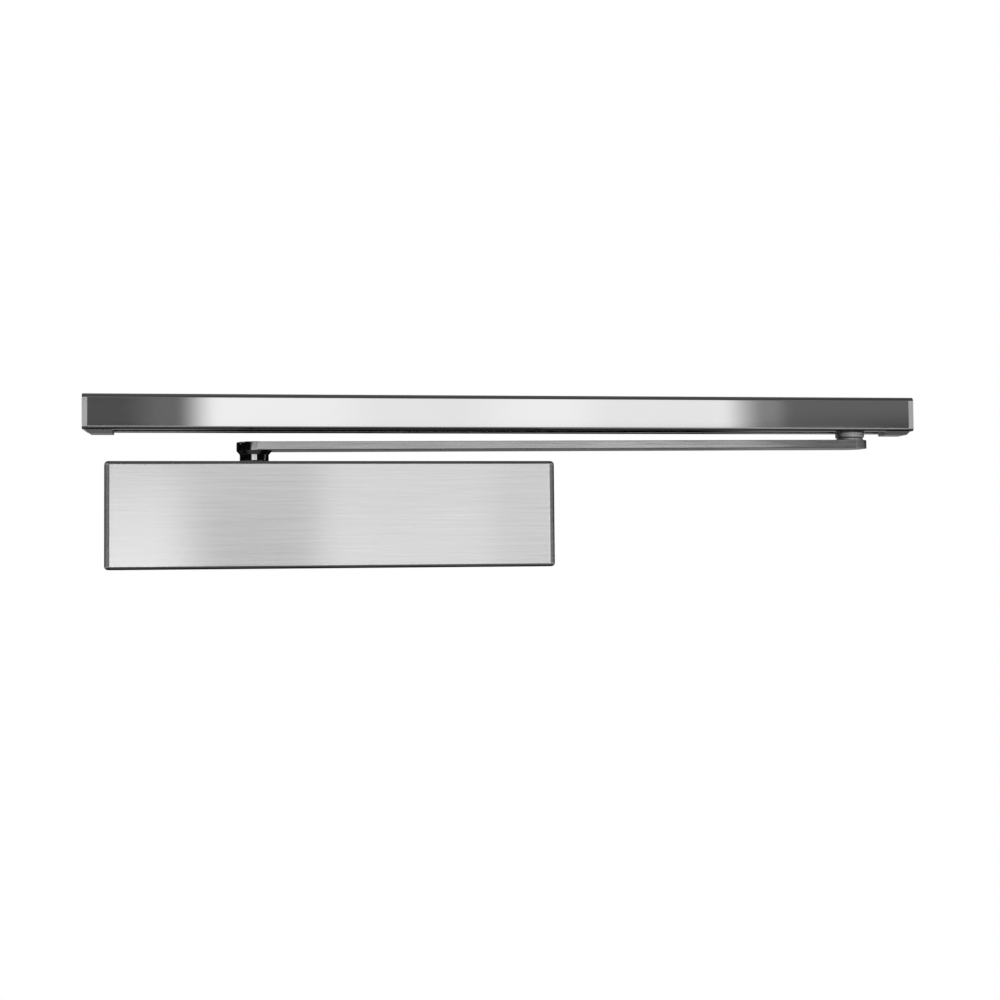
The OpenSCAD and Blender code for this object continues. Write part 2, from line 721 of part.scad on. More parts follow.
module rail_block_left() color("darkgray") at_rail_end(-1) rail_block();
module rail_block_right() color("darkgray") at_rail_end(1) rail_block();

module rail_lock_screws() color("black") for (side = [-1, 1]) at_rail_end(side)
    translate([block_mid, lock_y, 0]) difference() {
        rod_z(rail_z + 0.1, rail_z + lock_l + 0.1, lock_r);
        along_z(rail_z - cut, rail_z + lock_l / 2) hexagon(lock_key);
    }

// End cap with an outer wall and a tab that hides the lock screw
module rail_cap() {
    along_x(0, cap_t) rail_outline();
    translate([tab_in, tab_y0, rail_z - tab_t]) cube([tab_l - tab_in, tab_y1 - tab_y0, tab_t]);
    translate([cap_t, slider_y - slot_w / 2 + 0.2, rail_z])
        cube([tab_l - cap_t - tab_key, slot_w - 0.4, rail_t]);
}

module rail_cap_left() color("silver") at_rail_end(-1) rail_cap();
module rail_cap_right() color("silver") at_rail_end(1) rail_cap();

// ---- Nodes ---------------------------------------------------------------

mounting_plate();
body_casting();
end_plug_left();
end_plug_right();
end_seal_left();
end_seal_right();
upper_bearing();
lower_bearing();
upper_shaft_seal();
upper_bearing_cap();
lower_bearing_cap();
cover();
cover_clip_left();
cover_clip_right();
body_screws();
main_spring();
power_screw_seal();
pinion_shaft();
arm();
arm_screw();
slider_stud();
stud_circlip();
rack_piston();
piston_seal();
check_valve_retainer();
check_valve_ball();
spring_seat();
power_screw();
closing_speed_valve();
closing_speed_seal();
latching_speed_valve();
latching_speed_seal();
backcheck_valve();
backcheck_seal();
slider_bush();
slider_shoe();
rail();
rail_block_left();
rail_block_right();
rail_lock_screws();
rail_cap_left();
rail_cap_right();
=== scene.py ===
import json
import math

import bmesh
import bpy
from mathutils import Matrix, Vector


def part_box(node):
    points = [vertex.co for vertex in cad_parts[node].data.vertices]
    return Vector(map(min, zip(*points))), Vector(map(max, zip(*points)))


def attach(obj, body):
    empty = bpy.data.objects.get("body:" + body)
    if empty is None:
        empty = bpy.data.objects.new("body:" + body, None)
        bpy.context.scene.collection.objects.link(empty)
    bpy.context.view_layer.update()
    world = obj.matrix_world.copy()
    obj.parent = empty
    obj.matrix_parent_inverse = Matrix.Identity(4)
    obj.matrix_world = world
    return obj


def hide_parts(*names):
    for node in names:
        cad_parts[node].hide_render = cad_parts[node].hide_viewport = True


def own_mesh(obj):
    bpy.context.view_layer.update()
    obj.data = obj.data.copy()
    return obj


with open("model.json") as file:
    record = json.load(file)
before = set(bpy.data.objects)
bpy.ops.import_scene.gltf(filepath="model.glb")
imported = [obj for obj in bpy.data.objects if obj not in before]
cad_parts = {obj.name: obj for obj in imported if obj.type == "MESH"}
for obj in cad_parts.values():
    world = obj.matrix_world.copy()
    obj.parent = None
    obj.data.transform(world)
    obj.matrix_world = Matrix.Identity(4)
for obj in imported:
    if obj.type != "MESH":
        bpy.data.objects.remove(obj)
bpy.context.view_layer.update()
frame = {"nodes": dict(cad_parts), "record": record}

MM = 0.001
SAME_PLACE = 1e-7       # metres between vertices that are one
NEAR = 1e-6             # metres from a plane that still count as in it
GRAIN_UV = "grain"      # UV map along the brushing
EDGE = "edge"           # attribute, 1 where a face rounds an edge
WEAR_TONE = 0.10        # how much lighter brushed metal is on a rubbed edge
WEAR_POLISH = 0.2       # how much smoother any finish is there
GRAIN_TURN = 0.25       # quarter turn, so that highlights spread across the brushing
BRUSH_DEPTH = 0.00002   # greatest depth of the scratches, in metres
GRIT_DEPTH = 0.00003    # and of the grit on plain finishes

# ---- Sizes, in millimetres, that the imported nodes' boxes don't give ---------

COVER_SHEET = 1.5
COVER_END_R = 4.0
COVER_EDGE_R = 2.3
HUB_HOLE_R = 11.0
PINION = (-50.0, -28.0)     # X and Y of the pinion's axis
SLIDER = (355.5, -15.5)     # and of the slider's pivot
RAIL_WALL = 2.0
RAIL_LIP_R = 0.4
RAIL_BACK_R = 0.5
RAIL_INNER_R = 0.3
RAIL_INNER_TOP_R = 0.9
RAIL_TOP_R = 2.9
RAIL_LOW_R = 2.0
SLOT_HALF = 6.8
CAP_WALL = 3.4
CAP_EDGE_R = 1.3
TAB_START = 0.8             # both ends of the tab, from the cap's outer face
TAB_LENGTH = 18.5
TAB_FRONT = -28.5
TAB_BACK = -13.0
TAB_DROP = 2.5              # below the rail
TAB_KEY = 0.6               # up into the cap
TAB_SLOPE = 3.2
TAB_R = 0.8
BLOCK_END = 21.0            # inner end of a rail block, from the cap's outer face
ARM_WIDTH = 22.5
ARM_THICK = 5.5
ARM_TOP = 47.7
ARM_RISE = 2.8              # from the pinion to the slider
ARM_EDGE_R = 0.45
BOSS_R = 9.3
HEAD_R = 11.4
HUB_BORE_R = 5.6
HUB_PROUD = 0.12            # above the bar's top
RECESS_R = 6.5
SCREW_HOLE_R = 3.2
CUT_PAST = 5.0              # how far a cutter reaches past what it cuts

# ---- Camera, in metres and radians, with its lens in millimetres ------------

CAMERA_AT = (-0.03325, -1.0764, -0.03495)
CAMERA_YAW = 0.136
CAMERA_PITCH = 0.0425
CAMERA_ROLL = -0.0092
CAMERA_LENS = 57.8


# ---- Node trees -------------------------------------------------------------

def new_node(tree, kind, **values):
    """A shader node with its plain settings given by name and its inputs by number or name in 'inputs'."""
    node = tree.nodes.new(kind)
    for key, value in values.pop("inputs", {}).items():
        node.inputs[key].default_value = value
    for key, value in values.items():
        setattr(node, key, value)
    return node


def math_node(tree, operation, first, second=None, third=None, clamp=False):
    """Output of a maths node; each operand is a number or another node's output."""
    node = new_node(tree, "ShaderNodeMath", operation=operation, use_clamp=clamp)
    for socket, value in zip(node.inputs, (first, second, third)):
        if value is None:
            continue
        if isinstance(value, (int, float)):
            socket.default_value = value
        else:
            tree.links.new(value, socket)
    return node.outputs[0]


def mapped(tree, value, low, high, to_low=0.0, to_high=1.0, kind="LINEAR"):
    """Turns value from to_low at low to to_high at high, and no further."""
    node = new_node(tree, "ShaderNodeMapRange", interpolation_type=kind, clamp=True)
    for name, number in (("From Min", low), ("From Max", high), ("To Min", to_low), ("To Max", to_high)):
        node.inputs[name].default_value = number
    tree.links.new(value, node.inputs["Value"])
    return node.outputs["Result"]


def smoothly(tree, value, low, high, to_low=0.0, to_high=1.0):
    """The same, without a kink at either end."""
    return mapped(tree, value, low, high, to_low, to_high, "SMOOTHSTEP")


def noise(tree, vector, scale, detail, roughness=0.5):
    """A noise about 0.5, with so many marks to the unit of the vector."""
    settings = {"Scale": scale, "Detail": detail, "Roughness": roughness}
    node = new_node(tree, "ShaderNodeTexNoise", inputs=settings)
    tree.links.new(vector, node.inputs["Vector"])
    return node.outputs["Fac"]


def grain_noise(tree, uv, along, across, detail, roughness=0.5):
    """A noise with so many marks to the metre along the grain and across it."""
    node = new_node(tree, "ShaderNodeMapping", inputs={"Scale": (along, across, 1.0)})
    tree.links.new(uv, node.inputs["Vector"])
    return noise(tree, node.outputs["Vector"], 1.0, detail, roughness)


def varied(tree, value, middle, share, reach=0.2):
    """middle, less or more a share of itself where a noise goes reach below or above its mean."""
    return mapped(tree, value, 0.5 - reach, 0.5 + reach, middle * (1.0 - share), middle * (1.0 + share))


def scaled_colour(tree, colour, factor):
    """colour times a factor that varies over the surface."""
    node = new_node(tree, "ShaderNodeVectorMath", operation="SCALE")
    node.inputs[0].default_value = colour
    tree.links.new(factor, node.inputs["Scale"])
    return node.outputs["Vector"]


def material(name):
    """A new material with its node tree and its shader, linked to the output."""
    mat = bpy.data.materials.new(name)
    mat.use_nodes = True
    tree = mat.node_tree
    tree.nodes.clear()
    shader = new_node(tree, "ShaderNodeBsdfPrincipled")
    output = new_node(tree, "ShaderNodeOutputMaterial")
    tree.links.new(shader.outputs["BSDF"], output.inputs["Surface"])
    return mat, tree, shader


def add_bump(tree, shader, height, strength, distance):
    """Gives the shader a bump, distance metres deep at most."""
    bump = new_node(tree, "ShaderNodeBump", inputs={"Strength": strength, "Distance": distance})
    tree.links.new(height, bump.inputs["Height"])
    tree.links.new(bump.outputs["Normal"], shader.inputs["Normal"])


# ---- Materials --------------------------------------------------------------

def grain_coordinates(tree):
    """Metres along the grain in X and across it in Y."""
    node = new_node(tree, "ShaderNodeUVMap", uv_map=GRAIN_UV)
    return node.outputs["UV"]


def edge_wear(tree, detail):
    """0 on flat faces and up to 1 on rounded edges, broken up by a noise."""
    edge = new_node(tree, "ShaderNodeAttribute", attribute_name=EDGE).outputs["Fac"]
    return math_node(tree, "MULTIPLY", edge, smoothly(tree, detail, 0.35, 0.65))


def brushed_metal(name, colour, rough, streak, bump, anisotropy, shorten=1.0, blotch=0.03, ripple=1.0):
    """Steel brushed along its grain map: streaks, fine scratches, a slow change of tone and rubbed edges.

    shorten packs the marks closer along the grain, streak and blotch set their tone, and ripple says how far
    the roughness follows them.
    """
    mat, tree, shader = material(name)
    uv = grain_coordinates(tree)
    broad = grain_noise(tree, uv, 5.0 * shorten, 400.0, 2.0)
    medium = grain_noise(tree, uv, 12.0 * shorten, 950.0, 2.0, 0.6)
    fine = grain_noise(tree, uv, 30.0 * shorten, 5200.0, 1.0)
    slow = grain_noise(tree, uv, 11.0, 16.0, 1.0)
    lines = math_node(tree, "MULTIPLY_ADD", medium, 0.6, math_node(tree, "MULTIPLY", broad, 0.4))
    centred = math_node(tree, "SUBTRACT", lines, 0.5)
    tone = math_node(tree, "MULTIPLY_ADD", centred, streak, varied(tree, slow, 1.0, blotch))
    tone = math_node(tree, "MULTIPLY_ADD", math_node(tree, "SUBTRACT", fine, 0.5), streak * 0.5, tone)
    worn = edge_wear(tree, medium)
    tone = math_node(tree, "MULTIPLY_ADD", worn, WEAR_TONE, tone)
    tree.links.new(scaled_colour(tree, colour, tone), shader.inputs["Base Color"])
    roughness = math_node(tree, "MULTIPLY_ADD", centred, rough * ripple, varied(tree, fine, rough, 0.08))
    roughness = math_node(tree, "MULTIPLY_ADD", worn, -WEAR_POLISH * rough, roughness, clamp=True)
    tree.links.new(roughness, shader.inputs["Roughness"])
    add_bump(tree, shader, math_node(tree, "ADD", lines, fine), bump, BRUSH_DEPTH)
    tangent = new_node(tree, "ShaderNodeTangent", direction_type="UV_MAP", uv_map=GRAIN_UV)
    tree.links.new(tangent.outputs["Tangent"], shader.inputs["Tangent"])
    shader.inputs["Metallic"].default_value = 1.0
    shader.inputs["Anisotropic"].default_value = anisotropy
    shader.inputs["Anisotropic Rotation"].default_value = GRAIN_TURN
    return mat


def plain_finish(name, colour, rough, mottle, grain, bump, metallic=1.0, wear=0.12, rim=1.0):
    """Turned, plated, cast or moulded: fine mottling in tone and roughness, a light bump and rubbed edges.

    grain is the number of marks to the metre, wear lightens the edges, and a rim below 1 darkens what is seen
    at a glancing angle.
    """
    mat, tree, shader = material(name)
    place = new_node(tree, "ShaderNodeTexCoord").outputs["Object"]
    fine = noise(tree, place, grain, 3.0, 0.6)
    broad = noise(tree, place, grain * 0.06, 2.0, 0.5)
    centred = math_node(tree, "SUBTRACT", fine, 0.5)
    tone = math_node(tree, "MULTIPLY_ADD", centred, mottle, varied(tree, broad, 1.0, mottle))
    worn = edge_wear(tree, fine)
    tone = math_node(tree, "MULTIPLY_ADD", worn, wear, tone)
    tree.links.new(scaled_colour(tree, colour, tone), shader.inputs["Base Color"])
    roughness = varied(tree, fine, rough, 0.2, 0.25)
    roughness = math_node(tree, "MULTIPLY_ADD", worn, -WEAR_POLISH * rough, roughness, clamp=True)
    tree.links.new(roughness, shader.inputs["Roughness"])
    add_bump(tree, shader, fine, bump, GRIT_DEPTH)
    shader.inputs["Metallic"].default_value = metallic
    shader.inputs["Specular Tint"].default_value = (rim, rim, rim, 1.0)
    return mat


def grey(value, tint=0.0):
    """A grey, a little blue by tint."""
    return (value, value, value + tint)


# The darkest fold finish is painted shade: a dark colour on the faces of an edge that turn away from the
# front, standing in for the dark room that these faces mirror.
BRUSHED = {
    "brushed_stainless": dict(colour=grey(0.68), rough=0.15, streak=0.45, bump=0.015, anisotropy=1.0,
                              shorten=1.4, blotch=0.02, ripple=0.5),
    "cover_end": dict(colour=grey(0.60), rough=0.26, streak=0.10, bump=0.05, anisotropy=0.4),
    "bright_stainless": dict(colour=grey(0.80), rough=0.035, streak=0.03, bump=0.003, anisotropy=0.2,
                             shorten=0.6, blotch=0.012, ripple=0.25),
    # painted shade: a darker colour for the start of the rail's lower front edge
    "rail_fold": dict(colour=grey(0.36), rough=0.22, streak=0.05, bump=0.01, anisotropy=0.2, blotch=0.02),
    # painted shade for the faces of an edge turned away from the front
    "dark_fold": dict(colour=grey(0.13), rough=0.22, streak=0.05, bump=0.01, anisotropy=0.2, blotch=0.02),
    "arm_steel": dict(colour=grey(0.42), rough=0.18, streak=1.2, bump=0.03, anisotropy=1.0, shorten=3.0,
                      blotch=0.14),
}
PLAIN = {
    # painted shade: a dark colour for the cap's tab, standing in for the dark surroundings it mirrors
    "cap_tab": dict(colour=grey(0.15, 0.005), rough=0.30, mottle=0.04, grain=700.0, bump=0.04),
    "silver_cap": dict(colour=grey(0.66, 0.01), rough=0.40, mottle=0.03, grain=700.0, bump=0.04),
    "hub_steel": dict(colour=grey(0.50, 0.01), rough=0.05, mottle=0.03, grain=700.0, bump=0.01, wear=0.0),
    # painted shade: near-black colour and no rim for the hub's flare, standing in for the dark ground it
    # mirrors
    "hub_flare": dict(colour=grey(0.10, 0.005), rough=0.12, mottle=0.03, grain=700.0, bump=0.01, wear=0.0,
                      rim=0.0),
    "turned_steel": dict(colour=grey(0.56, 0.01), rough=0.55, mottle=0.04, grain=800.0, bump=0.05),
    "bearing_steel": dict(colour=grey(0.75, 0.02), rough=0.12, mottle=0.02, grain=900.0, bump=0.03),
    "cast_iron": dict(colour=(0.26, 0.27, 0.28), rough=0.55, mottle=0.16, grain=420.0, bump=0.5, wear=0.3),
    "zinc_plated": dict(colour=(0.58, 0.60, 0.61), rough=0.34, mottle=0.08, grain=260.0, bump=0.08),
    "black_screw": dict(colour=grey(0.035, 0.005), rough=0.38, mottle=0.12, grain=900.0, bump=0.1,
                        metallic=0.6, wear=1.2),
    "spring_steel": dict(colour=grey(0.10, 0.01), rough=0.36, mottle=0.12, grain=900.0, bump=0.1, wear=0.3),
    "brass": dict(colour=(0.78, 0.62, 0.32), rough=0.24, mottle=0.05, grain=800.0, bump=0.06),
    "rubber": dict(colour=grey(0.02), rough=0.62, mottle=0.2, grain=1200.0, bump=0.2, metallic=0.0,
                   wear=0.2),
    "black_plastic": dict(colour=grey(0.03), rough=0.42, mottle=0.15, grain=1500.0, bump=0.15, metallic=0.0,
                          wear=0.4),
    "white_plastic": dict(colour=(0.85, 0.85, 0.83), rough=0.40, mottle=0.03, grain=1500.0, bump=0.1,
                          metallic=0.0, wear=0.02),
}
MATERIALS = {name: brushed_metal(name, **look) for name, look in BRUSHED.items()}
MATERIALS.update({name: plain_finish(name, **look) for name, look in PLAIN.items()})


# ---- Mesh building ----------------------------------------------------------

def rounded_outline(corners, steps):
    """Points of a closed outline given as (u, v, corner radius), with an arc at every rounded corner."""
    points = []
    count = len(corners)
    for i, (u, v, radius) in enumerate(corners):
        here = Vector((u, v))
        if radius <= 0:
            points.append(here)
            continue
        before = (Vector(corners[i - 1][:2]) - here).normalized()
        after = (Vector(corners[(i + 1) % count][:2]) - here).normalized()
        half = math.acos(max(-1.0, min(1.0, before.dot(after)))) / 2
        centre = here + (before + after).normalized() * radius / math.sin(half)
        start = here + before * radius / math.tan(half) - centre
        end = here + after * radius / math.tan(half) - centre
        sweep = start.angle_signed(end)
        for k in range(steps + 1):
            turn = -sweep * k / steps
            points.append(centre + Matrix.Rotation(turn, 2) @ start)
    return points


def prism(bm, outline, low, high, place):
    """Closed prism of a 2-D outline from low to high. place turns (u, v, depth) into a point."""
    bottom = [bm.verts.new(place(p.x, p.y, low)) for p in outline]
    top = [bm.verts.new(place(p.x, p.y, high)) for p in outline]
    bm.faces.new(bottom)
    bm.faces.new(reversed(top))
    for i in range(len(outline)):
        j = (i + 1) % len(outline)
        bm.faces.new((bottom[j], bottom[i], top[i], top[j]))


def eased_foot(radius, z, size):
    """Profile points round an edge from an underside at z to the wall above it."""
    return [(radius - size, z), (radius - 0.3 * size, z + 0.3 * size), (radius, z + size)]


def eased_top(radius, z, size):
    """Profile points round an edge from a wall to the top at z."""
    return [(radius, z - size), (radius - 0.3 * size, z - 0.3 * size), (radius - size, z)]


def lathe(bm, profile, centre, segments=96):
    """Rings of a (radius, height) profile turned about the vertical line through centre."""
    rings = []
    for radius, height in profile:
        ring = []
        for k in range(segments):
            angle = 2 * math.pi * k / segments
            ring.append(bm.verts.new(((centre[0] + radius * math.cos(angle)) * MM,
                                      (centre[1] + radius * math.sin(angle)) * MM, height * MM)))
        rings.append(ring)
    for low, high in zip(rings, rings[1:]):
        for k in range(segments):
            n = (k + 1) % segments
            bm.faces.new((low[k], low[n], high[n], high[k]))
    return rings


def bevel_edges(bm, edges, width, segments):
    """Rounds the edges over a width in millimetres."""
    bmesh.ops.bevel(bm, geom=list(edges), offset=width * MM, offset_type="OFFSET", segments=segments,
                    profile=0.5, affect="EDGES", clamp_overlap=True)


def along_x(u, v, depth):
    """Places for prism: the outline in Y and Z, and depth in X."""
    return Vector((depth, u, v)) * MM


def along_y(u, v, depth):
    """The outline in X and Z, and depth in Y."""
    return Vector((u, depth, v)) * MM


def along_z(u, v, depth):
    """The outline in X and Y, and depth in Z."""
    return Vector((u, v, depth)) * MM


def grain_map(mesh):
    """UV map in metres: U along X, or along Y on end faces, and V across it."""
    layer = mesh.uv_layers.get(GRAIN_UV) or mesh.uv_layers.new(name=GRAIN_UV)
    for face in mesh.polygons:
        nx, ny, nz = (abs(c) for c in face.normal)
        for loop in face.loop_indices:
            x, y, z = mesh.vertices[mesh.loops[loop].vertex_index].co
            if nx > max(ny, nz):
                layer.data[loop].uv = (y, z)
            else:
                layer.data[loop].uv = (x, y if nz > ny else z)


def edge_map(mesh, flat=0.999):
    """Marks the faces that round an edge, for the wear on them."""
    layer = mesh.attributes.get(EDGE) or mesh.attributes.new(EDGE, "FLOAT", "CORNER")
    for face in mesh.polygons:
        rounding = 0.0 if max(abs(c) for c in face.normal) > flat else 1.0
        for loop in face.loop_indices:
            layer.data[loop].value = rounding


def add_piece(name, bm, body, replaced, mats, sharp=35.0):
    """Makes the mesh an object that rides on a body and stands for the CAD nodes named."""
    bmesh.ops.recalc_face_normals(bm, faces=bm.faces)
    mesh = bpy.data.meshes.new(name)
    bm.to_mesh(mesh)
    bm.free()
    piece = bpy.data.objects.new(name, mesh)
    bpy.context.scene.collection.objects.link(piece)
    for mat in mats:
        mesh.materials.append(MATERIALS[mat])
    piece["sharp"] = sharp
    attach(piece, body)
    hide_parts(*replaced)
    return piece


def finish_shading(piece):
    """Smooth shading with flat faces kept flat, the grain map and the edge marks."""
    mesh = piece.data
    mesh.polygons.foreach_set("use_smooth", [True] * len(mesh.polygons))
    mesh.set_sharp_from_angle(angle=math.radians(piece["sharp"]))
    grain_map(mesh)
    edge_map(mesh)
    weighted = piece.modifiers.new("flat_faces", "WEIGHTED_NORMAL")
    weighted.keep_sharp = True


def bake_modifiers(piece):
    """Applies the piece's modifiers to its mesh."""
    graph = bpy.context.evaluated_depsgraph_get()
    mesh = bpy.data.meshes.new_from_object(piece.evaluated_get(graph))
    piece.modifiers.clear()
    piece.data = mesh


def carve(piece, cutters):
    """Cuts the closed meshes out of the piece."""
    for cutter in cutters:
        cut = piece.modifiers.new("cut", "BOOLEAN")
        cut.operation = "DIFFERENCE"
        cut.solver = "EXACT"
        cut.object = cutter
    bake_modifiers(piece)
    for cutter in cutters:
        bpy.data.objects.remove(cutter)


def cutter_object(bm):
    """Makes the closed mesh an object for carve."""
    bmesh.ops.recalc_face_normals(bm, faces=bm.faces)
    mesh = bpy.data.meshes.new("cutter")
    bm.to_mesh(mesh)
    bm.free()
    obj = bpy.data.objects.new("cutter", mesh)
    bpy.context.scene.collection.objects.link(obj)
    return obj


def box_cutter(low, high):
    """Box for carve, given by two corners in millimetres."""
    bm = bmesh.new()
    outline = [Vector((low[0], low[1])), Vector((high[0], low[1])),
               Vector((high[0], high[1])), Vector((low[0], high[1]))]
    prism(bm, outline, low[2], high[2], along_z)
    return cutter_object(bm)


def round_cutter(centre, radius, low, high):
    """Upright cylinder for carve, in millimetres."""
    bm = bmesh.new()
    rings = lathe(bm, [(radius, low), (radius, high)], centre, 64)
    bm.faces.new(reversed(rings[0]))
    bm.faces.new(rings[1])
    return cutter_object(bm)


def on_a_fold(face, lower=-0.15, upper=0.13):
    """True for the faces of an edge that turn down past one slope or up past another, but aren't level: the
    faces that are painted in shade.
    """
    level = 0.998
    return -level < face.normal.z < lower or upper < face.normal.z < level


def box_mm(node):
    """Lowest and highest corners of a node, in millimetres."""
    low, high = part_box(node)
    return low / MM, high / MM


# ---- Cover ------------------------------------------------------------------

def make_cover():
    """Folded and welded sheet cover, open at the back, with a hole in its top for the hub."""
    low, high = box_mm("cover")
    bm = bmesh.new()
    outline = rounded_outline([(low.x, high.y, 0), (low.x, low.y, COVER_END_R), (high.x, low.y, COVER_END_R),
                               (high.x, high.y, 0)], 10)
    prism(bm, outline, low.z, high.z, along_z)
    back = [f for f in bm.faces if all(abs(v.co.y - high.y * MM) < NEAR for v in f.verts)]
    rim = []
    for edge in bm.edges:
        heights = {round(v.co.z / MM, 3) for v in edge.verts}
        at_back = all(abs(v.co.y - high.y * MM) < NEAR for v in edge.verts)
        if len(heights) == 1 and not at_back:
            rim.append(edge)
    bmesh.ops.delete(bm, geom=back, context="FACES_ONLY")
    bevel_edges(bm, rim, COVER_EDGE_R, 8)
    piece = add_piece("brushed_cover", bm, "closer_body", ["cover"],
                      ["brushed_stainless", "cover_end", "dark_fold"])
    sheet = piece.modifiers.new("sheet", "SOLIDIFY")
    sheet.thickness = COVER_SHEET * MM
    sheet.offset = -1
    sheet.use_even_offset = True
    bake_modifiers(piece)
    carve(piece, [round_cutter(PINION, HUB_HOLE_R, high.z - CUT_PAST, high.z + CUT_PAST)])
    end_slope = 0.92
    for face in piece.data.polygons:
        if abs(face.normal.x) > end_slope:
            face.material_index = 1
        # painted shade: the faces of the top and bottom edges get the dark fold colour
        elif on_a_fold(face):
            face.material_index = 2
    finish_shading(piece)


# ---- Rail -------------------------------------------------------------------

def make_rail():
    """Channel with a slot in its underside; its back wall is cut away over the end blocks."""
    low, high = box_mm("rail")
    wall = RAIL_WALL
    middle = SLIDER[1]
    front_lip, back_lip = middle - SLOT_HALF, middle + SLOT_HALF
    outline = rounded_outline([
        (front_lip, low.z, RAIL_LIP_R), (low.y, low.z, RAIL_LOW_R), (low.y, high.z, RAIL_TOP_R),
        (high.y, high.z, RAIL_BACK_R), (high.y, low.z, RAIL_BACK_R), (back_lip, low.z, RAIL_LIP_R),
        (back_lip, low.z + wall, RAIL_LIP_R), (high.y - wall, low.z + wall, RAIL_INNER_R),
        (high.y - wall, high.z - wall, RAIL_INNER_R), (low.y + wall, high.z - wall, RAIL_INNER_TOP_R),
        (low.y + wall, low.z + wall, RAIL_INNER_R), (front_lip, low.z + wall, RAIL_LIP_R)], 10)
    bm = bmesh.new()
    prism(bm, outline, low.x, high.x, along_x)
    piece = add_piece("bright_channel", bm, "guide_rail", ["rail"],
                      ["bright_stainless", "rail_fold", "dark_fold"], 40.0)
    inner_low, inner_high = low.z + wall, high.z - wall
    end = BLOCK_END - CAP_WALL
    cut_y = -wall - 1
    carve(piece, [box_cutter((low.x - CUT_PAST, cut_y, inner_low), (low.x + end, CUT_PAST, inner_high)),
                  box_cutter((high.x - end, cut_y, inner_low), (high.x + CUT_PAST, CUT_PAST, inner_high))])
    lower_slope = -0.30
    for face in piece.data.polygons:
        in_front = face.center.y < (low.y + RAIL_LOW_R) * MM and face.normal.y < 0
        # painted shade: faces that turn down past the slope, or up, get the dark fold colour
        if on_a_fold(face, lower_slope):
            face.material_index = 2
        # and the rest of the lower front edge gets the darker edge colour, also painted shade
        elif in_front and face.center.z < (low.z + RAIL_LOW_R) * MM:
            face.material_index = 1
    finish_shading(piece)


def make_cap(side):
    """End cap: an outer wall with rounded edges, and a chamfered tab under the rail's end."""
    name = "rail_cap_left" if side < 0 else "rail_cap_right"
    low, high = box_mm("rail")
    outer = low.x - CAP_WALL if side < 0 else high.x + CAP_WALL
    inner = low.x if side < 0 else high.x
    outline = rounded_outline([(low.y, low.z, RAIL_LOW_R), (low.y, high.z, RAIL_TOP_R),
                               (high.y, high.z, RAIL_BACK_R), (high.y, low.z, RAIL_BACK_R)], 10)
    bm = bmesh.new()
    prism(bm, outline, outer, inner, along_x)
    rim = [e for e in bm.edges if all(abs(v.co.x - outer * MM) < NEAR for v in e.verts)]
    bevel_edges(bm, rim, CAP_EDGE_R, 6)
    bottom, root = low.z - TAB_DROP, low.z + TAB_KEY
    start, stop = outer - side * TAB_START, outer - side * TAB_LENGTH
    tab = rounded_outline([(start, root, 0), (start - side * TAB_SLOPE, bottom, TAB_R),
                           (stop, bottom, TAB_R / 2), (stop, root, 0)], 4)
    prism(bm, tab, TAB_FRONT, TAB_BACK, along_y)
    piece = add_piece("channel_" + name[5:], bm, "guide_rail", [name],
                      ["silver_cap", "cap_tab", "dark_fold"], 40.0)
    lower_slope, end_slope = -0.3, 0.9
    for face in piece.data.polygons:
        on_the_tab = face.center.z < low.z * MM
        # painted shade: the tab's side faces get the dark tab colour; its underside, its slope and the cap's
        # rounded edges get the dark fold colour
        if on_the_tab and abs(face.normal.x) < end_slope and face.normal.z > lower_slope:
            face.material_index = 1
        elif on_a_fold(face) or (on_the_tab and face.normal.z < lower_slope):
            face.material_index = 2
    finish_shading(piece)


# ---- Arm --------------------------------------------------------------------

def arm_frame():
    """Matrix from the arm's own frame, X along it and Z up from its underside, and the arm's length."""
    dx, dy = SLIDER[0] - PINION[0], SLIDER[1] - PINION[1]
    length = math.hypot(dx, dy)
    yaw = math.atan2(dy, dx)
    tilt = math.atan2(ARM_RISE, length)
    origin = Vector((PINION[0], PINION[1], ARM_TOP - ARM_THICK)) * MM
    return Matrix.Translation(origin) @ Matrix.Rotation(yaw, 4, "Z") @ Matrix.Rotation(-tilt, 4, "Y"), length


def make_arm():
    """Flat bar with a rounded end under the slider; the hub stands for the node of both."""
    matrix, length = arm_frame()
    half = ARM_WIDTH / 2
    steps = 32
    outline = [Vector((length + half * math.cos(a), half * math.sin(a)))
               for a in (math.radians(-90 + 180 * k / steps) for k in range(steps + 1))]
    outline += [Vector((0.0, half)), Vector((0.0, -half))]
    bm = bmesh.new()
    prism(bm, outline, 0.0, ARM_THICK, along_z)
    rim = [e for e in bm.edges if abs(e.verts[0].co.z - e.verts[1].co.z) < SAME_PLACE]
    bevel_edges(bm, rim, ARM_EDGE_R, 3)
    piece = add_piece("flat_arm", bm, "swing_arm", [], ["arm_steel", "dark_fold"], 40.0)
    # painted shade: the underside and lower edge faces of the bar get the dark fold colour
    lower_slope = -0.1
    for face in piece.data.polygons:
        if face.normal.z < lower_slope:
            face.material_index = 1
    finish_shading(piece)
    piece.data.transform(matrix)


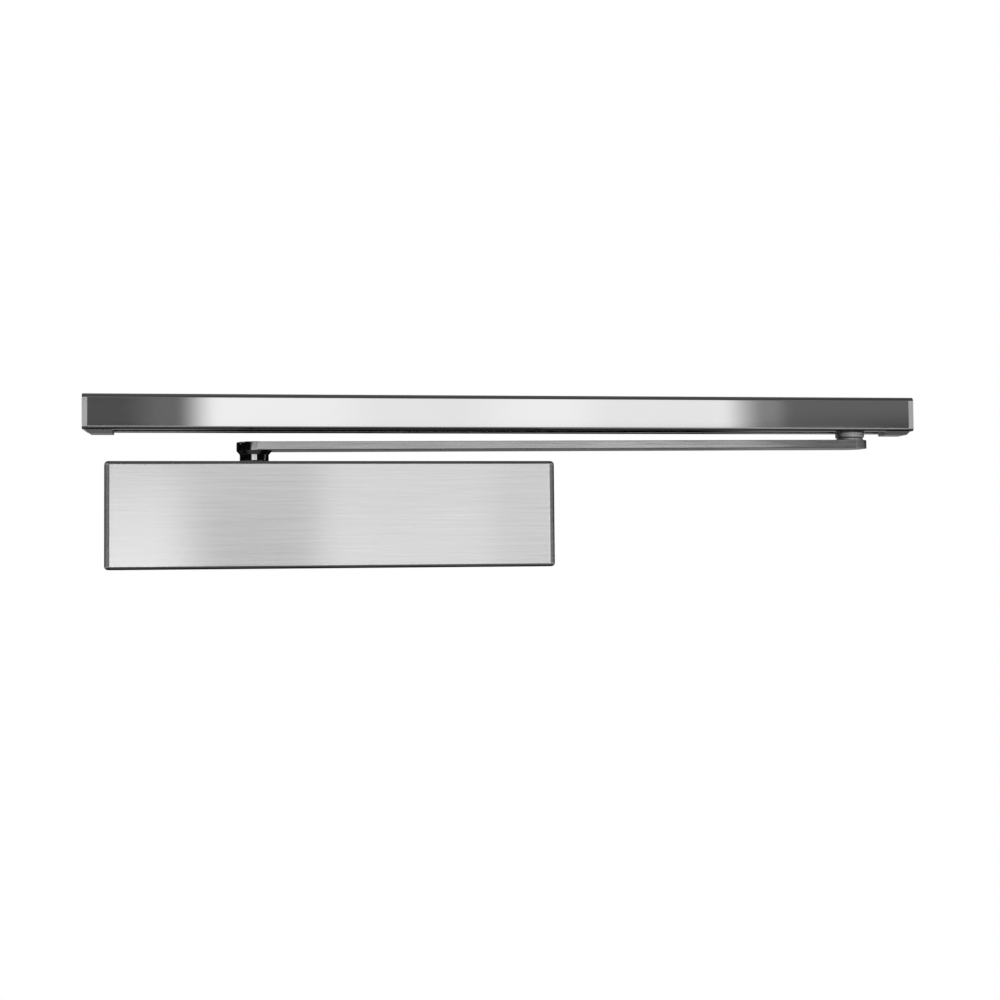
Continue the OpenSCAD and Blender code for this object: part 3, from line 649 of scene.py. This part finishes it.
def make_hub():
    """Turned hub: boss, flare and head, with a countersink for the clamping screw."""
    base = box_mm("arm")[0].z
    top = ARM_TOP + HUB_PROUD
    flare_low, flare_high = ARM_TOP - 7.8, ARM_TOP - 5.7
    blend = 0.3
    seat, web = top - 3.3, top - 4.4
    profile = [(HUB_BORE_R, base), *eased_foot(BOSS_R, base, 0.5),
               (BOSS_R, flare_low - blend), (BOSS_R + 0.15, flare_low),
               (HEAD_R - 0.2, flare_high), (HEAD_R, flare_high + blend), *eased_top(HEAD_R, top, 0.6),
               (RECESS_R, top), (RECESS_R - 0.3, top - 0.1), (SCREW_HOLE_R, seat), (SCREW_HOLE_R, web),
               (HUB_BORE_R, web), (HUB_BORE_R, base)]
    bm = bmesh.new()
    lathe(bm, profile, PINION, 128)
    bmesh.ops.remove_doubles(bm, verts=bm.verts, dist=SAME_PLACE)
    piece = add_piece("arm_hub", bm, "swing_arm", ["arm"], ["hub_steel", "hub_flare"], 20.0)
    foot_slope, flare_slope = -0.9, -0.3
    # painted shade: the downward faces of the flare get the near-black flare colour
    for face in piece.data.polygons:
        if foot_slope < face.normal.z < flare_slope:
            face.material_index = 1
    finish_shading(piece)


def make_turned(name, node, body, profile):
    """Piece turned about the slider's pivot that stands for one node."""
    bm = bmesh.new()
    lathe(bm, profile, SLIDER)
    bmesh.ops.remove_doubles(bm, verts=bm.verts, dist=SAME_PLACE)
    piece = add_piece(name, bm, body, [node], ["turned_steel"], 30.0)
    finish_shading(piece)


def make_bush():
    """Flanged bush that turns on the stud and passes through the rail's slot into the shoe."""
    low, high = box_mm("slider_bush")
    flange, bush, bore = 9.75, 6.5, 5.05
    step = low.z + 3.3
    ease, chamfer = 0.5, 0.4
    profile = [(bore, low.z), *eased_foot(flange, low.z, ease), *eased_top(flange, step, ease), (bush, step),
               (bush, high.z - chamfer), (bush - chamfer, high.z), (bore, high.z), (bore, low.z)]
    make_turned("flanged_bush", "slider_bush", "slider", profile)


def make_stud():
    """Stud riveted in the arm, with a flange on it and a groove for its circlip."""
    low, high = box_mm("slider_stud")
    flange, pin, rivet = 9.0, 5.0, 4.0
    seat = ARM_TOP + ARM_RISE - 0.15
    step = seat + 1.95
    chamfer, rivet_chamfer, near_axis = 0.4, 0.6, 0.01
    groove, groove_low, groove_high = pin - 0.8, high.z - 1.8, high.z - 0.8
    profile = [(near_axis, low.z), (rivet - rivet_chamfer, low.z), (rivet, low.z + rivet_chamfer),
               (rivet, seat), (flange - chamfer, seat), (flange, seat + chamfer), (flange, step - chamfer),
               (flange - chamfer, step), (pin, step), (pin, groove_low), (groove, groove_low),
               (groove, groove_high), (pin, groove_high), (pin, high.z - chamfer), (pin - chamfer, high.z),
               (near_axis, high.z)]
    make_turned("flanged_stud", "slider_stud", "swing_arm", profile)


# ---- Carried-over nodes -----------------------------------------------------

def slot_of(node):
    """The material slot that the record gives a node."""
    return next(part["material_slot"] for part in frame["record"]["subparts"] if part["node"] == node)


def soften(node, body, width):
    """Copy of a CAD node with its sharp edges rounded, to be shown in its place."""
    bm = bmesh.new()
    bm.from_mesh(frame["nodes"][node].data)
    bmesh.ops.remove_doubles(bm, verts=bm.verts, dist=SAME_PLACE)
    bmesh.ops.dissolve_limit(bm, angle_limit=math.radians(1.0), verts=bm.verts, edges=bm.edges)
    limit = math.radians(40.0)
    sharp = [edge for edge in bm.edges if len(edge.link_faces) == 2 and edge.calc_face_angle() > limit]
    bevel_edges(bm, sharp, width, 2)
    piece = add_piece("soft_" + node, bm, body, [node], [slot_of(node)], 30.0)
    finish_shading(piece)


def make_spring():
    """Copy of the closing spring, shown in place of its node."""
    bm = bmesh.new()
    bm.from_mesh(frame["nodes"]["main_spring"].data)
    spring_slot = slot_of("main_spring")
    piece = add_piece("closing_spring", bm, "closer_body", ["main_spring"], [spring_slot], 60.0)
    finish_shading(piece)
    bake_modifiers(piece)
    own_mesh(piece)


def dress_nodes():
    """Gives every CAD node the material of its slot."""
    for part in frame["record"]["subparts"]:
        mesh = frame["nodes"][part["node"]].data
        mesh.materials.clear()
        mesh.materials.append(MATERIALS[part["material_slot"]])


# ---- Light, floor and camera ------------------------------------------------

def panel(tree, azimuth, elevation, azimuths, elevations, soft_sideways, soft_upward, strength):
    """A soft-edged patch of light in the sky, by azimuth from the front and elevation, in degrees."""
    factors = [smoothly(tree, azimuth, azimuths[0] - soft_sideways, azimuths[0] + soft_sideways),
               smoothly(tree, azimuth, azimuths[1] - soft_sideways, azimuths[1] + soft_sideways, 1.0, 0.0),
               smoothly(tree, elevation, elevations[0] - soft_upward, elevations[0] + soft_upward),
               smoothly(tree, elevation, elevations[1] - soft_upward, elevations[1] + soft_upward, 1.0, 0.0)]
    value = math_node(tree, "MULTIPLY", factors[0], factors[1])
    value = math_node(tree, "MULTIPLY", value, factors[2])
    value = math_node(tree, "MULTIPLY", value, factors[3])
    return math_node(tree, "MULTIPLY", value, strength)


# azimuth range, elevation range, softness in each, strength
# A range that ends at 190 has its soft edge past straight behind.
PANELS = [
    ((-21, 20.8), (-8, 4.25), 2.0, 0.25, 0.82),    # low softbox in front, for the cover, the hub and the arm
    ((-13, -3.1), (-9, 4.25), 1.0, 0.25, 1.02),    # its brightest part, on the left
    ((1.38, 20.8), (-8, 4.25), 0.2, 0.25, 0.48),   # its bright part on the right
    ((7.6, 12.5), (-8, 4.25), 0.3, 0.25, -0.28),
    ((12.5, 20.8), (-8, 4.0), 1.0, 0.25, 0.25),    # for the outer end of the arm
    ((16.5, 20.8), (-8, 4.0), 1.0, 0.25, 0.40),
    ((20.8, 34), (-8, 3.0), 1.0, 0.6, 0.32),
    ((-2.9, 16.45), (4.6, 15), 0.80, 0.25, 1.06),  # high softbox in front, for the rail
    ((2.5, 7.5), (4.6, 15), 1.5, 0.25, -0.10),
    ((11, 16), (4.6, 15), 1.0, 0.25, -0.09),
    ((-12, -3.2), (4.6, 15), 2, 1, 0.085),         # glow beside the high softbox
    ((-4.6, -3.2), (4.6, 15), 1.0, 0.5, 0.10),
    ((16.8, 32), (4.6, 15), 0.8, 1, 0.135),        # glow on its other side
    ((16.6, 17.8), (4.6, 15), 0.4, 0.5, 0.13),
    ((-177.3, -150), (-8, 8), 1.5, 2, 0.14),       # dim back wall, for the rail's underside
    ((150, 163.9), (-8, 0), 1.5, 2, 0.20),
    ((-38, 38), (18, 60), 6, 3, 0.34),             # ceiling in front
    ((-190, 190), (60, 100), 1, 8, 0.50),          # lamp overhead
    ((-35, 35), (-75, -11), 8, 2, 0.46),           # ground in front
    ((17, 40), (-80, -12), 2, 2, 0.42),            # its bright part, for the rail's right end
    ((75, 190), (-50, -7.2), 6, 0.9, 0.50),        # ground at the sides and behind
    ((-190, -75), (-50, -7.2), 6, 0.9, 0.50),
    ((160, 190), (14, 60), 4, 4, 0.50),            # high behind
    ((-190, -160), (14, 60), 4, 4, 0.50),
    ((-100, -26), (-14, -1.5), 3, 1.2, 0.45),      # dim low walls at the sides
    ((26, 100), (-14, -1.5), 3, 1.2, 0.45),
    ((-125, -30), (7.4, 42), 5, 1.0, 0.60),        # high at the sides
    ((30, 125), (7.4, 42), 5, 1.0, 0.60),
    ((-70, -35), (-45, -14), 6, 4, 0.5),           # ground beside the front
    ((35, 70), (-45, -14), 6, 4, 0.5),
    ((125, 160), (10, 55), 6, 5, 0.70),            # back corners
    ((-160, -125), (10, 55), 6, 5, 0.70),
]
DARK_ROOM = 0.004


def make_world():
    """White to the camera; to everything else a dark room with soft panels of light."""
    world = bpy.data.worlds.new("studio")
    bpy.context.scene.world = world
    world.use_nodes = True
    tree = world.node_tree
    tree.nodes.clear()
    direction = new_node(tree, "ShaderNodeTexCoord").outputs["Generated"]
    split = new_node(tree, "ShaderNodeSeparateXYZ")
    tree.links.new(direction, split.inputs[0])
    x, y, z = split.outputs
    toward_front = math_node(tree, "MULTIPLY", y, -1.0)
    azimuth = math_node(tree, "DEGREES", math_node(tree, "ARCTAN2", x, toward_front))
    elevation = math_node(tree, "DEGREES", math_node(tree, "ARCSINE", z))
    light = None
    for azimuths, elevations, soft_sideways, soft_upward, strength in PANELS:
        patch = panel(tree, azimuth, elevation, azimuths, elevations, soft_sideways, soft_upward, strength)
        light = patch if light is None else math_node(tree, "ADD", light, patch)
    light = math_node(tree, "ADD", light, DARK_ROOM)
    seen = new_node(tree, "ShaderNodeLightPath").outputs["Is Camera Ray"]
    mix = new_node(tree, "ShaderNodeMix", data_type="FLOAT")
    tree.links.new(seen, mix.inputs[0])
    tree.links.new(light, mix.inputs[2])
    mix.inputs[3].default_value = 1.0
    background = new_node(tree, "ShaderNodeBackground")
    tree.links.new(mix.outputs[0], background.inputs["Color"])
    output = new_node(tree, "ShaderNodeOutputWorld")
    tree.links.new(background.outputs[0], output.inputs["Surface"])


def make_floor():
    """Pale studio floor below the wall-mounted part, as white as the background."""
    mat = bpy.data.materials.new("floor")
    mat.use_nodes = True
    tree = mat.node_tree
    tree.nodes.clear()
    seen = new_node(tree, "ShaderNodeLightPath").outputs["Is Camera Ray"]
    matt = new_node(tree, "ShaderNodeBsdfDiffuse", inputs={"Color": (0.8, 0.8, 0.8, 1.0)})
    white = new_node(tree, "ShaderNodeEmission", inputs={"Color": (1.0, 1.0, 1.0, 1.0)})
    mix = new_node(tree, "ShaderNodeMixShader")
    tree.links.new(seen, mix.inputs[0])
    tree.links.new(matt.outputs[0], mix.inputs[1])
    tree.links.new(white.outputs[0], mix.inputs[2])
    output = new_node(tree, "ShaderNodeOutputMaterial")
    tree.links.new(mix.outputs[0], output.inputs["Surface"])
    mesh = bpy.data.meshes.new("floor")
    half, level = 8.0, -2.2
    mesh.from_pydata([(-half, -half, level), (half, -half, level), (half, half, level), (-half, half, level)],
                     [], [(0, 1, 2, 3)])
    mesh.materials.append(mat)
    floor = bpy.data.objects.new("floor", mesh)
    bpy.context.scene.collection.objects.link(floor)
    floor.visible_glossy = False


def make_camera():
    """The photograph's view: level with the cover's lower edge, turned to the right and a little up."""
    level = math.cos(CAMERA_PITCH)
    forward = Vector((math.sin(CAMERA_YAW) * level, math.cos(CAMERA_YAW) * level, math.sin(CAMERA_PITCH)))
    right = Vector((math.cos(CAMERA_YAW), -math.sin(CAMERA_YAW), 0.0))
    up = right.cross(forward)
    right_rolled = right * math.cos(CAMERA_ROLL) + up * math.sin(CAMERA_ROLL)
    up_rolled = up * math.cos(CAMERA_ROLL) - right * math.sin(CAMERA_ROLL)
    data = bpy.data.cameras.new("camera")
    data.sensor_width = 36.0
    data.lens = CAMERA_LENS
    camera = bpy.data.objects.new("camera", data)
    bpy.context.scene.collection.objects.link(camera)
    turn = Matrix((right_rolled, up_rolled, -forward)).transposed()
    camera.matrix_world = Matrix.Translation(CAMERA_AT) @ turn.to_4x4()
    bpy.context.scene.camera = camera


def main():
    """Builds the pieces, then the room around them."""
    dress_nodes()
    make_cover()
    make_rail()
    make_cap(-1)
    make_cap(1)
    make_arm()
    make_hub()
    make_bush()
    make_stud()
    soften("mounting_plate", "closer_body", 0.5)
    soften("rail_block_left", "guide_rail", 0.5)
    soften("rail_block_right", "guide_rail", 0.5)
    soften("slider_shoe", "slider", 0.5)
    soften("arm_screw", "swing_arm", 0.15)
    make_spring()
    make_world()
    make_floor()
    make_camera()
    bpy.context.scene.view_settings.view_transform = "Standard"


main()
